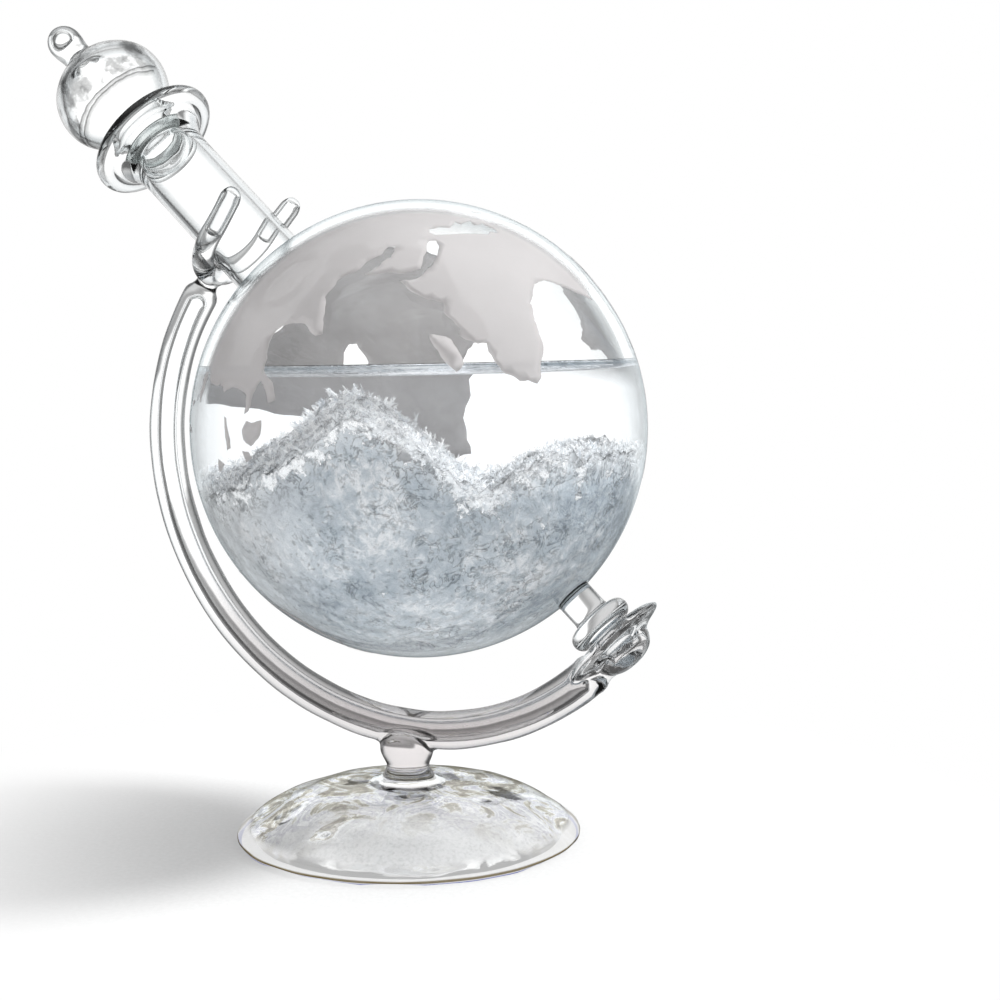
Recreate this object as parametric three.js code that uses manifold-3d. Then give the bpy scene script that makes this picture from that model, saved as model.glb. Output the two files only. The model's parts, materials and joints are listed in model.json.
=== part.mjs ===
// Storm glass: a liquid-filled glass globe that turns on a tilted axis in a lampworked glass stand.
// Millimetres, +Z up. The foot rests on z = 0, and the origin is under the middle of the whole object.
// The globe's axis leans towards -X, so its neck and stopper point up and to the left seen from -Y.
//
// Pieces on the globe's axis are drawn in the axis frame: the globe's centre is its origin, +Z runs out
// through the neck and +X points up and to the right. The C-shaped arm lies in that frame's XZ plane.
import * as THREE from "three";
import { mergeVertices } from "three/addons/utils/BufferGeometryUtils.js";
import Module from "manifold-3d";

// ---- driving dimensions -------------------------------------------------------------------------
const TILT = THREE.MathUtils.degToRad(45); // of the globe's axis from upright
const GLOBE_CENTRE = new THREE.Vector3(4.2, 0, 89.8); // from the centre of the foot's resting ring
const GLOBE_RADIUS = 50;
const GLOBE_WALL = 2.4;
const JOIN_GAP = 0.12; // between glass pieces that are fused or seated on each other
const CUT_GAP = 0.3; // round a piece that another is shaped to

const NECK_RADIUS = 8.9;
const NECK_BORE = 7.3;
const NECK_START = 54; // along the axis from the globe's centre
const LIP_START = 89.8;
const LIP_CENTRE = 97.3;
const LIP_RING_RADIUS = 13.5; // of the rolled rim's centre line
const LIP_ROLL = 2.5; // radius of the rolled rim's section

const ARM_RADIUS = 66.7; // of the arm's centre line, round the globe's centre
const ARM_TUBE_RADIUS = 4.1;
const ARM_TUBE_BORE = 1.6;
const ARM_DRAW_SPAN = THREE.MathUtils.degToRad(38); // over which each end draws in towards the globe
const ARM_TOP_DRAW = 2.4;
const ARM_FOOT_DRAW = 1.6;
const ARM_TOP_ANGLE = THREE.MathUtils.degToRad(16.6); // from the neck's axis to the tube's upper end
const ARM_FOOT_ANGLE = THREE.MathUtils.degToRad(9.2); // from the pivot's axis to the tube's lower end

const FORK_HEIGHT = 63.4; // along the axis, where the fork's plane crosses it
const FORK_PITCH = 0.12; // rise of the fork's plane towards +X
const FORK_ROD_RADIUS = 2.5;
const FORK_BEND_DEPTH = 11.6; // of the bend below the axis
const FORK_HALF_WIDTH = 12.1; // where the prongs leave the bend
const FORK_REACH = 10.4; // of each prong past the axis
const FORK_SPLAY = 1.5; // sideways, from the bend to a prong's end

const PIN_RADIUS = 4;
const PIN_START = -53.4; // where the pivot pin leaves the globe's boss
const COLLAR_TOP = -56.3;
const COLLAR_BOTTOM = -60.6;
const COLLAR_RADIUS = 7.2;
const PIN_TIP_RADIUS = 3.5;
const PIN_END = -66.2;

const SOCKET_MOUTH = -61.2;
const SOCKET_BORE = 4;
const SOCKET_FLOOR = -66.8;
const SOCKET_END = -69.2;
const SOCKET_BODY_RADIUS = 6.6;
const SOCKET_RIM_RADIUS = 12.2;

const FOOT_RADIUS = 38.2;
const FOOT_HEIGHT = 11.4; // of the domed foot's top, where the stem leaves it
const FOOT_EDGE = 1.6; // radius of the foot's fire-polished edge
const FOOT_WALL = 2.7;
const STEM_WAIST_RADIUS = 4.9;

const BULB_CENTRE = 113.7;
const BULB_RADIUS = 14;
const BULB_HALF_HEIGHT = 12.2;
const BULB_WALL = 1.3;
const WAIST_RADIUS = 6.4;
const FINIAL_START = 127.2;
const FINIAL_END = 138.2;
const FINIAL_RADIUS = 4.2;
const PLUG_RADIUS = 6.8;
const PLUG_BORE = 5.5;
const PLUG_END = 88.4;
const SEAL_BOTTOM = 94;
const SEAL_TOP = 97.2;
const SEAL_SEAT_RADIUS = 6.4; // of the stopper under the seal

const LIQUID_LEVEL = 11; // above the globe's centre
const LIQUID_GAP = 0.6; // between the liquid's stand-in and the glass round it
const CRYSTAL_LEVEL = -8.5; // of the crystals' surface under the globe's centre, without its mounds
const CRYSTAL_SLOPE = 0.094;
const CREST_YAW = 25.6; // degrees from +X towards +Y, of the line along which the crystals' height varies

const ROUND_SEGMENTS = 24; // of small turned pieces
const GLOBE_SEGMENTS = 32;

// ---- helpers ------------------------------------------------------------------------------------
const wasm = await Module();
wasm.setup();

const degrees = THREE.MathUtils.degToRad;
const point = (radius, height) => new THREE.Vector2(radius, height);

// Points of an elliptic arc in a turning profile; angles are from the radius axis, in degrees.
function arc(centreRadius, centreHeight, radius, height, from, to, steps) {
  return Array.from({ length: steps + 1 }, (_, i) => {
    const angle = degrees(from + ((to - from) * i) / steps);
    return point(centreRadius + radius * Math.cos(angle), centreHeight + height * Math.sin(angle));
  });
}

// Turns a profile about +Z. It runs up its outer side and down its inner side.
function turned(profile, segments = ROUND_SEGMENTS) {
  return new THREE.LatheGeometry(profile, segments).rotateX(Math.PI / 2);
}

const closed = (profile) => [...profile, profile[0].clone()];

function toSolid(geometry) {
  const bare = geometry.clone();
  bare.deleteAttribute("normal");
  bare.deleteAttribute("uv");
  const merged = mergeVertices(bare, 1e-3);
  return new wasm.Manifold(
    new wasm.Mesh({
      numProp: 3,
      vertProperties: merged.attributes.position.array,
      triVerts: new Uint32Array(merged.index.array),
    }),
  );
}

function toGeometry(solid) {
  const mesh = solid.getMesh();
  const geometry = new THREE.BufferGeometry();
  geometry.setAttribute("position", new THREE.BufferAttribute(mesh.vertProperties, 3));
  geometry.setIndex(new THREE.BufferAttribute(mesh.triVerts, 1));
  geometry.computeVertexNormals();
  return geometry;
}

function disc(radius) {
  return new THREE.Shape().absarc(0, 0, radius, 0, 2 * Math.PI, false);
}

function sweep(shape, path, steps, segments) {
  return new THREE.ExtrudeGeometry(shape, { extrudePath: path, steps, curveSegments: segments });
}

function ball(radius, centre) {
  return new THREE.SphereGeometry(radius, 16, 12)
    .rotateX(Math.PI / 2)
    .translate(centre.x, centre.y, centre.z);
}

// ---- the arm's arc and the fork's path, in the axis frame ---------------------------------------
const ARM_END = Math.PI - ARM_FOOT_ANGLE;

// The arm's centre line. Angles run from the neck's axis round the globe's lower left side to the pivot.
class ArmArc extends THREE.Curve {
  getPoint(share) {
    const fromTop = share * (ARM_END - ARM_TOP_ANGLE);
    const fromFoot = (1 - share) * (ARM_END - ARM_TOP_ANGLE);
    const drawnIn = (from) => Math.max(0, 1 - from / ARM_DRAW_SPAN) ** 2;
    const radius = ARM_RADIUS - ARM_TOP_DRAW * drawnIn(fromTop) - ARM_FOOT_DRAW * drawnIn(fromFoot);
    const angle = ARM_TOP_ANGLE + fromTop;
    return new THREE.Vector3(-radius * Math.sin(angle), 0, radius * Math.cos(angle));
  }
}

const armArc = new ArmArc();
const ARM_TOP = armArc.getPoint(0);
const ARM_FOOT = armArc.getPoint(1);

const forkHeight = (x) => FORK_HEIGHT + FORK_PITCH * x;

// A U-shaped rod: half an oval under the neck and two prongs that open towards +X.
class ForkPath extends THREE.Curve {
  getPoint(share) {
    const bendLength = (Math.PI * (FORK_BEND_DEPTH + FORK_HALF_WIDTH)) / 2;
    const along = share * (bendLength + 2 * FORK_REACH) - FORK_REACH;
    if (along < 0) return this.prong(-along, -1);
    if (along > bendLength) return this.prong(along - bendLength, 1);
    const angle = (Math.PI * along) / bendLength;
    return new THREE.Vector3(
      -FORK_BEND_DEPTH * Math.sin(angle),
      -FORK_HALF_WIDTH * Math.cos(angle),
      forkHeight(-FORK_BEND_DEPTH * Math.sin(angle)),
    );
  }
  prong(reach, side) {
    const splay = FORK_SPLAY * (reach / FORK_REACH) ** 1.5;
    return new THREE.Vector3(reach, side * (FORK_HALF_WIDTH + splay), forkHeight(reach));
  }
}

// ---- the stand ----------------------------------------------------------------------------------
// Height of the foot's domed top above the table, at a share of its radius.
const domeHeight = (share) => FOOT_HEIGHT * (1 - share ** 2.92) ** 0.8;

function foot() {
  const shares = [0.93, 0.86, 0.76, 0.62, 0.45, 0.2];
  const top = shares.map((share) => point(share * FOOT_RADIUS, domeHeight(share)));
  const underside = shares
    .toReversed()
    .map((share) => point((share - 0.06) * FOOT_RADIUS, domeHeight(share) - FOOT_WALL));
  const edge = arc(FOOT_RADIUS - FOOT_EDGE, FOOT_EDGE, FOOT_EDGE, FOOT_EDGE, -90, 20, 5);
  return turned(
    [
      point(0, FOOT_HEIGHT - FOOT_WALL),
      ...underside,
      point(FOOT_RADIUS - 3.3, 0.3),
      point(FOOT_RADIUS - 2.9, 0),
      ...edge,
      ...top,
      point(0, FOOT_HEIGHT),
    ],
    36,
  );
}

function stem(armSolid) {
  const base = FOOT_HEIGHT + JOIN_GAP;
  const profile = [
    point(0, base),
    point(7.6, base),
    point(6, base + 0.7),
    point(STEM_WAIST_RADIUS, base + 2.2),
    point(STEM_WAIST_RADIUS, base + 3.8),
    point(5.7, base + 5.6),
    point(6.1, base + 7.4),
    point(5.9, base + 8.8),
    point(0, base + 8.8),
  ];
  return toGeometry(toSolid(turned(profile)).subtract(armSolid));
}

// The arm's solid outline, with room round it, for the pieces that are shaped to it.
function armOutline(room) {
  return sweep(disc(ARM_TUBE_RADIUS + room), armArc, 30, 5);
}

function armTube() {
  const ring = disc(ARM_TUBE_RADIUS);
  ring.holes.push(new THREE.Path().absarc(0, 0, ARM_TUBE_BORE, 0, 2 * Math.PI, true));
  return sweep(ring, armArc, 30, 5);
}

// A block over the tube's side of one of its ends, to trim an end cap to the tube.
function tubeEndBlock(end, inwards) {
  const size = 4 * ARM_TUBE_RADIUS;
  const block = new THREE.BoxGeometry(size, size, size).translate(size / 2, 0, 0);
  block.rotateY(Math.atan2(-inwards.z, inwards.x));
  const face = end.clone().addScaledVector(inwards, -JOIN_GAP);
  return toSolid(block.translate(face.x, 0, face.z));
}

// Closes the tube's upper end and necks down to the fork's bend.
function armUpperCap() {
  const bend = new THREE.Vector3(-FORK_BEND_DEPTH, 0, forkHeight(-FORK_BEND_DEPTH) + 1);
  const towards = bend.sub(ARM_TOP);
  const length = towards.length();
  const necked = [
    point(0, 0),
    point(3.4, 0),
    point(3.3, 1.6),
    point(2.3, 3),
    point(2.2, 4),
    point(2.7, length),
    point(0, length),
  ];
  const waist = turned(necked, 20)
    .rotateY(Math.atan2(towards.x, towards.z))
    .translate(ARM_TOP.x, 0, ARM_TOP.z);
  return toGeometry(
    toSolid(ball(ARM_TUBE_RADIUS, ARM_TOP))
      .add(toSolid(waist))
      .subtract(tubeEndBlock(ARM_TOP, armArc.getTangent(0)))
      .subtract(forkSolid(CUT_GAP)),
  );
}

// The fork's rod with the bead in its bend where the arm is fused to it, and with rounded prong ends.
function forkSolid(room) {
  const rod = sweep(disc(FORK_ROD_RADIUS + room), new ForkPath(), 28, 5);
  const bead = new THREE.SphereGeometry(1, 16, 12)
    .scale(2.35 + room, 4.6 + room, 4 + room)
    .translate(-FORK_BEND_DEPTH, 0, forkHeight(-FORK_BEND_DEPTH) + 1.2);
  const ends = [-1, 1].map((side) =>
    new THREE.SphereGeometry(FORK_ROD_RADIUS, 12, 8)
      .rotateZ(Math.PI / 2)
      .scale(0.6, 1, 1)
      .translate(FORK_REACH, side * (FORK_HALF_WIDTH + FORK_SPLAY), forkHeight(FORK_REACH)),
  );
  return [bead, ...ends].reduce((solid, piece) => solid.add(toSolid(piece)), toSolid(rod));
}

function socketProfile(room) {
  const rim = SOCKET_RIM_RADIUS;
  return [
    point(0, SOCKET_END - room),
    ...arc(0, SOCKET_END + 3.4, SOCKET_BODY_RADIUS + room, 3.4 + room, -65, 0, 4),
    point(SOCKET_BODY_RADIUS + 0.8 + room, -64.8 - room),
    point(rim - 2.4, -63.9 - room),
    ...arc(rim - 0.6, -63.1, 0.6 + room, 0.6 + room, -90, 90, 4),
    point(9.9, SOCKET_MOUTH - 0.7),
    point(7.6, SOCKET_MOUTH),
  ];
}

// A shallow cup for the globe's pivot, with a mouth that rolls out flat. It is cut back round the arm
// and round the cap on the arm's lower end that carries it.
function pivotSocket(armSolid) {
  const bore = [
    point(5.8, SOCKET_MOUTH - 0.4),
    point(4.6, SOCKET_MOUTH - 1.5),
    point(SOCKET_BORE, SOCKET_MOUTH - 2.8),
    point(SOCKET_BORE, SOCKET_FLOOR + 1.2),
    point(SOCKET_BORE - 1.4, SOCKET_FLOOR + 0.15),
    point(0, SOCKET_FLOOR),
  ];
  return toGeometry(
    toSolid(turned([...socketProfile(0), ...bore]))
      .subtract(armSolid)
      .subtract(lowerCapSolid(CUT_GAP).subtract(socketCore(0))),
  );
}

function socketCore(room) {
  const radius = SOCKET_BODY_RADIUS + room;
  const height = SOCKET_MOUTH - SOCKET_END + 2 * room;
  const middle = (SOCKET_MOUTH + SOCKET_END) / 2;
  return toSolid(
    new THREE.CylinderGeometry(radius, radius, height, ROUND_SEGMENTS)
      .rotateX(Math.PI / 2)
      .translate(0, 0, middle),
  );
}

// A ball over the tube's lower end and a short rod from it into the socket's core.
function lowerCapSolid(room) {
  const rod = new THREE.CylinderGeometry(2.4 + room, 3.4 + room, -ARM_FOOT.x, 20)
    .rotateZ(-Math.PI / 2)
    .translate(ARM_FOOT.x / 2, 0, ARM_FOOT.z - 1);
  return toSolid(ball(ARM_TUBE_RADIUS + room, ARM_FOOT)).add(toSolid(rod));
}

function armLowerCap() {
  return toGeometry(
    lowerCapSolid(0)
      .subtract(tubeEndBlock(ARM_FOOT, armArc.getTangent(1).negate()))
      .subtract(socketCore(CUT_GAP)),
  );
}

// ---- the globe ----------------------------------------------------------------------------------
// Fillet between the globe's outside and a stub of the given radius on the axis, from globe to stub.
function shoulder(stubRadius, fillet, steps) {
  const centreRadius = stubRadius + fillet;
  const centreHeight = Math.sqrt((GLOBE_RADIUS + fillet) ** 2 - centreRadius ** 2);
  const start = THREE.MathUtils.radToDeg(Math.atan2(centreHeight, centreRadius));
  return {
    startAngle: start, // where it leaves the globe
    points: arc(centreRadius, centreHeight, fillet, fillet, start - 180, -180, steps),
  };
}

function globeShell() {
  const inner = GLOBE_RADIUS - GLOBE_WALL;
  const neck = shoulder(NECK_RADIUS, 2.5, 4);
  const boss = shoulder(PIN_RADIUS, 2, 3);
  const openAngle = THREE.MathUtils.radToDeg(Math.acos(NECK_BORE / inner));
  const bossPoints = boss.points.map((p) => point(p.x, -p.y)).reverse();
  return turned(
    [
      point(0, PIN_START + JOIN_GAP),
      point(PIN_RADIUS, PIN_START + JOIN_GAP),
      ...bossPoints,
      ...arc(0, 0, GLOBE_RADIUS, GLOBE_RADIUS, -boss.startAngle, neck.startAngle, 16).slice(1),
      ...neck.points.slice(1),
      point(NECK_RADIUS, NECK_START),
      point(NECK_BORE, NECK_START),
      ...arc(0, 0, inner, inner, openAngle, -90, 16),
    ],
    GLOBE_SEGMENTS,
  );
}

function neckTube() {
  const bottom = NECK_START + JOIN_GAP;
  const top = LIP_START - JOIN_GAP;
  return turned(
    closed([
      point(NECK_BORE, bottom),
      point(NECK_RADIUS, bottom),
      point(NECK_RADIUS, top),
      point(NECK_BORE, top),
    ]),
  );
}

// The neck's flared and rolled mouth. Inside, it opens as a funnel that the stopper's seal rests in.
function neckLip() {
  return turned(
    closed([
      point(NECK_BORE, LIP_START),
      point(NECK_RADIUS, LIP_START),
      point(9.7, 92),
      point(11, 94),
      ...arc(LIP_RING_RADIUS, LIP_CENTRE, LIP_ROLL, LIP_ROLL, -105, 120, 9),
      point(10.6, 98.2),
      point(8.9, 97.8),
      point(NECK_BORE, 93.6),
    ]),
    32,
  );
}

function pivotPin() {
  const inCollar = PIN_TIP_RADIUS + 0.2;
  return turned([
    point(0, PIN_END),
    ...arc(0, PIN_END + 2.2, PIN_TIP_RADIUS, 2.2, -72, 0, 5),
    point(PIN_TIP_RADIUS, COLLAR_BOTTOM - 0.4),
    point(inCollar, COLLAR_BOTTOM),
    point(inCollar, COLLAR_TOP + JOIN_GAP),
    point(PIN_RADIUS, COLLAR_TOP + 0.3),
    point(PIN_RADIUS, PIN_START),
    point(0, PIN_START),
  ]);
}

// The bead round the pin that carries the globe's weight on the socket's mouth.
function pivotCollar() {
  const bore = PIN_TIP_RADIUS + 0.2 + JOIN_GAP;
  const middle = (COLLAR_TOP + COLLAR_BOTTOM) / 2;
  const half = (COLLAR_TOP - COLLAR_BOTTOM) / 2;
  return turned(
    closed([
      point(bore, COLLAR_BOTTOM),
      ...arc(COLLAR_RADIUS - half, middle, half, half, -90, 90, 8),
      point(bore, COLLAR_TOP),
    ]),
  );
}

// ---- the stopper and its seal -------------------------------------------------------------------
function stopperSeal() {
  const bore = SEAL_SEAT_RADIUS + JOIN_GAP;
  return turned(
    closed([
      point(bore, SEAL_BOTTOM),
      point(7.2, SEAL_BOTTOM),
      point(8.45, SEAL_TOP - 0.4),
      point(8.15, SEAL_TOP),
      point(bore, SEAL_TOP),
    ]),
  );
}

const PLUG_TOP = 99.4;

function stopperPlug() {
  return turned([
    point(0, PLUG_END),
    ...arc(0, PLUG_END + 3.6, PLUG_RADIUS - 0.2, 3.6, -75, 0, 6),
    point(PLUG_RADIUS, SEAL_BOTTOM - 0.6),
    point(SEAL_SEAT_RADIUS, SEAL_BOTTOM - JOIN_GAP),
    point(SEAL_SEAT_RADIUS, PLUG_TOP),
    point(PLUG_BORE, PLUG_TOP),
    ...arc(0, PLUG_END + 4.4, PLUG_BORE, 3.3, 0, -90, 6),
  ]);
}

function stopperBulb() {
  const bottom = PLUG_TOP + JOIN_GAP;
  const inner = BULB_RADIUS - BULB_WALL;
  const innerHalf = BULB_HALF_HEIGHT - BULB_WALL;
  const angleAt = (radius, full) => THREE.MathUtils.radToDeg(Math.acos(radius / full));
  const crown = angleAt(5.4, BULB_RADIUS);
  return turned([
    point(PLUG_BORE, bottom),
    point(WAIST_RADIUS, bottom),
    point(WAIST_RADIUS + 0.9, bottom + 2.4),
    ...arc(0, BULB_CENTRE, BULB_RADIUS, BULB_HALF_HEIGHT, -angleAt(8.6, BULB_RADIUS), crown, 13),
    point(4.3, 126),
    point(3.9, FINIAL_START),
    point(0, FINIAL_START),
    ...arc(0, BULB_CENTRE, inner, innerHalf, 90, -angleAt(6.4, inner), 12),
    point(PLUG_BORE, bottom),
  ]);
}

function stopperFinial() {
  const start = FINIAL_START + JOIN_GAP;
  return turned([
    point(0, start),
    point(3.85, start),
    point(3.7, start + 1.5),
    point(3.8, start + 2.8),
    ...arc(0, FINIAL_END - 4.6, FINIAL_RADIUS, 4.6, -15, 75, 8),
    point(0, FINIAL_END),
  ]);
}

// ---- the contents, in a frame at the globe's centre with +Z up ------------------------------------
const CONTENTS_RADIUS = GLOBE_RADIUS - GLOBE_WALL - LIQUID_GAP;

// Height of the crystals' surface: a bed that leans up to the right, with a feathery mound on the
// left, a hollow right of the middle and a low rise beyond it.
function crystalHeight(x, y) {
  const across = x * Math.cos(degrees(CREST_YAW)) + y * Math.sin(degrees(CREST_YAW));
  const bump = (height, middle, width) => height * Math.exp(-(((across - middle) / width) ** 2) / 2);
  const mounds = bump(15, -11, 9) - bump(3, 11, 4.5) + bump(3, 27, 8);
  return CRYSTAL_LEVEL + CRYSTAL_SLOPE * across + mounds + 0.9 * Math.sin(x / 4.5) * Math.cos(y / 5);
}

// A ball wider and deeper than the globe's inside, with its top pressed down to the crystals' surface.
function crystalBlank() {
  const geometry = new THREE.SphereGeometry(GLOBE_RADIUS, 24, 16).rotateX(Math.PI / 2);
  const position = geometry.attributes.position;
  for (let i = 0; i < position.count; i++) {
    const p = new THREE.Vector3().fromBufferAttribute(position, i);
    const depth = Math.min(p.z, 0);
    position.setXYZ(i, p.x, p.y, crystalHeight(p.x, p.y) + 1.5 * depth);
  }
  return toSolid(geometry);
}

function filledTo(level) {
  const angle = THREE.MathUtils.radToDeg(Math.asin(level / CONTENTS_RADIUS));
  const profile = [...arc(0, 0, CONTENTS_RADIUS, CONTENTS_RADIUS, -90, angle, 20), point(0, level)];
  return toSolid(turned(profile, GLOBE_SEGMENTS));
}

function stormLiquid() {
  const raised = crystalBlank().translate([0, 0, LIQUID_GAP]);
  return toGeometry(filledTo(LIQUID_LEVEL).subtract(raised));
}

function crystalBed() {
  return toGeometry(filledTo(LIQUID_LEVEL).intersect(crystalBlank()));
}

// ---- the assembly -------------------------------------------------------------------------------
const GLASS = { color: 0xe9eff0, roughness: 0.04, metalness: 0, transparent: true, opacity: 0.4 };
const clearGlass = new THREE.MeshStandardMaterial(GLASS);
const sealRubber = new THREE.MeshStandardMaterial({ color: 0xe4e6e4, roughness: 0.45, metalness: 0 });
const liquid = new THREE.MeshStandardMaterial({
  color: 0xe3edf2,
  roughness: 0.02,
  metalness: 0,
  transparent: true,
  opacity: 0.35,
});
const crystals = new THREE.MeshStandardMaterial({ color: 0xc3d0da, roughness: 0.8, metalness: 0 });

function place(group, name, geometry, material) {
  const mesh = new THREE.Mesh(geometry, material);
  mesh.name = name;
  group.add(mesh);
}

const part = new THREE.Group();
const onAxis = new THREE.Group();
onAxis.position.copy(GLOBE_CENTRE);
onAxis.rotation.y = -TILT;
const contents = new THREE.Group();
contents.position.copy(GLOBE_CENTRE);
part.add(onAxis, contents);
onAxis.updateMatrixWorld(true);

const armRoom = armOutline(CUT_GAP);
place(part, "foot", foot(), clearGlass);
place(part, "stem", stem(toSolid(armRoom.clone().applyMatrix4(onAxis.matrixWorld))), clearGlass);
place(onAxis, "arm_tube", armTube(), clearGlass);
place(onAxis, "arm_upper_cap", armUpperCap(), clearGlass);
place(onAxis, "arm_lower_cap", armLowerCap(), clearGlass);
place(onAxis, "neck_fork", toGeometry(forkSolid(0)), clearGlass);
place(onAxis, "pivot_socket", pivotSocket(toSolid(armRoom)), clearGlass);

place(onAxis, "globe_shell", globeShell(), clearGlass);
place(onAxis, "neck_tube", neckTube(), clearGlass);
place(onAxis, "neck_lip", neckLip(), clearGlass);
place(onAxis, "pivot_pin", pivotPin(), clearGlass);
place(onAxis, "pivot_collar", pivotCollar(), clearGlass);

place(onAxis, "stopper_seal", stopperSeal(), sealRubber);
place(onAxis, "stopper_plug", stopperPlug(), clearGlass);
place(onAxis, "stopper_bulb", stopperBulb(), clearGlass);
place(onAxis, "stopper_finial", stopperFinial(), clearGlass);

place(contents, "storm_liquid", stormLiquid(), liquid);
place(contents, "crystal_bed", crystalBed(), crystals);

// Brings the middle of the whole object over the origin.
const bounds = new THREE.Box3().setFromObject(part, true);
part.position.x = -(bounds.min.x + bounds.max.x) / 2;

export default part;
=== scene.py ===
import json
import math

import bmesh
import bpy
import numpy as np
from mathutils import Matrix, Vector, geometry, noise
from mathutils.kdtree import KDTree


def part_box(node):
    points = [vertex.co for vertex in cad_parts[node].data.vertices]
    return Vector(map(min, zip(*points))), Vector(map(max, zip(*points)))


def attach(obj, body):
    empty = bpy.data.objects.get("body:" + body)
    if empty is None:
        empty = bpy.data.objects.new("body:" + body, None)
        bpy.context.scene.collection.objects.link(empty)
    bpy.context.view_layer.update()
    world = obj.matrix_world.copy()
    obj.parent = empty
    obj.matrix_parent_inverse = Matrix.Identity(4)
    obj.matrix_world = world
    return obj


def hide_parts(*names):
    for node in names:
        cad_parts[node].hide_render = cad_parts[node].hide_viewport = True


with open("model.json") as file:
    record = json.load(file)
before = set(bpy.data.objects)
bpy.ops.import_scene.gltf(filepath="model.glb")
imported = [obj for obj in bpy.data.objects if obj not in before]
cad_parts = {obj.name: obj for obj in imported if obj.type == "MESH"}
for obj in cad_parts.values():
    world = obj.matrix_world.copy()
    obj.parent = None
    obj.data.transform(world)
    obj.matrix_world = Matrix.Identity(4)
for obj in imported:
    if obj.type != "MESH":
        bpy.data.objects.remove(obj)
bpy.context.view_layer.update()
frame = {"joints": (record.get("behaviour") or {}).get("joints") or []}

# Lengths are in millimetres until a mesh is made, and in metres after it.
# "Axis frame" means the globe's centre as origin, +Z out through the neck and +X up to the right.
MM = 0.001
SEED = 20

# ---- where the frame says things are ---------------------------------------------------------------
JOINTS = {joint["name"]: joint for joint in frame["joints"]}
CENTRE = Vector(JOINTS["globe_spin"]["pos_m"])
AXIS = Vector(JOINTS["globe_spin"]["axis"]).normalized()
ACROSS = Vector((AXIS.z, 0, -AXIS.x))
FOOT_LOW, FOOT_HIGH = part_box("foot")
FOOT_CENTRE = Vector(((FOOT_LOW.x + FOOT_HIGH.x) / 2, (FOOT_LOW.y + FOOT_HIGH.y) / 2, 0))
LEVEL = (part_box("storm_liquid")[1].z - CENTRE.z) / MM  # of the liquid, above the globe's centre

VIEW_YAW = math.radians(25.6)  # of the front view, from -Y towards +X
VIEW_RIGHT = Vector((math.cos(VIEW_YAW), math.sin(VIEW_YAW), 0))

AXIS_FRAME = Matrix.Translation(CENTRE) @ Matrix((ACROSS, (0, 1, 0), AXIS)).transposed().to_4x4()
FOOT_FRAME = Matrix.Translation(FOOT_CENTRE)
LEVEL_FRAME = Matrix.Translation(CENTRE)

# ---- sizes -----------------------------------------------------------------------------------------
GLOBE_RADIUS = 50.0
GLOBE_WALL = 2.4
INNER_RADIUS = GLOBE_RADIUS - GLOBE_WALL
NECK_RADIUS = 8.9
NECK_BORE = 7.3
PIN_RADIUS = 4.0

ARM_RADIUS = 66.7
ARM_TUBE_RADIUS = 4.1
ARM_TUBE_BORE = 1.6
ARM_DRAW_SPAN = math.radians(38)
ARM_TOP_DRAW = 2.4
ARM_FOOT_DRAW = 1.6
ARM_TOP_ANGLE = math.radians(16.6)
ARM_END_ANGLE = math.radians(180 - 9.2)

FORK_HEIGHT = 63.4
FORK_PITCH = 0.12
FORK_ROD_RADIUS = 2.5
FORK_BEND_DEPTH = 11.6
FORK_HALF_WIDTH = 12.1
FORK_REACH = 10.4
FORK_SPLAY = 1.5
PRONG_BORE = 1.35

FOOT_RADIUS = 38.2
FOOT_HEIGHT = 11.4
FOOT_WALL = 2.7


# ---- meshes ----------------------------------------------------------------------------------------
def arc(radius_centre, height_centre, radius, height, start, end, steps):
    """Points of an elliptic arc in a turning profile, angles in degrees from the radius axis."""
    angles = [math.radians(start + (end - start) * i / steps) for i in range(steps + 1)]
    return [(radius_centre + radius * math.cos(a), height_centre + height * math.sin(a)) for a in angles]


def smoothed(points, steps):
    """A Catmull-Rom curve through the points of a profile."""
    ends = [points[0]] + list(points) + [points[-1]]
    out = []
    for a, b, c, d in zip(ends, ends[1:], ends[2:], ends[3:]):
        a, b, c, d = (np.array(p, float) for p in (a, b, c, d))
        for i in range(steps):
            t = i / steps
            curve = 2 * b + (c - a) * t + (2 * a - 5 * b + 4 * c - d) * t**2 + (3 * b - a - 3 * c + d) * t**3
            out.append(tuple(curve / 2))
    return out + [tuple(points[-1])]


def turned(profile, segments, closed=False):
    """Vertices and faces of a profile turned about +Z. It runs up its outer side and down its inner side."""
    verts, rings, faces = [], [], []
    for radius, height in profile:
        if radius < 1e-4:
            rings.append([len(verts)] * segments)
            verts.append((0, 0, height))
            continue
        rings.append(list(range(len(verts), len(verts) + segments)))
        turn = [2 * math.pi * i / segments for i in range(segments)]
        verts += [(radius * math.cos(t), radius * math.sin(t), height) for t in turn]
    pairs = list(zip(rings, rings[1:])) + ([(rings[-1], rings[0])] if closed else [])
    for low, high in pairs:
        for i in range(segments):
            j = (i + 1) % segments
            face = list(dict.fromkeys([low[i], low[j], high[j], high[i]]))
            if len(face) > 2:
                faces.append(face)
    return verts, faces


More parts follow.
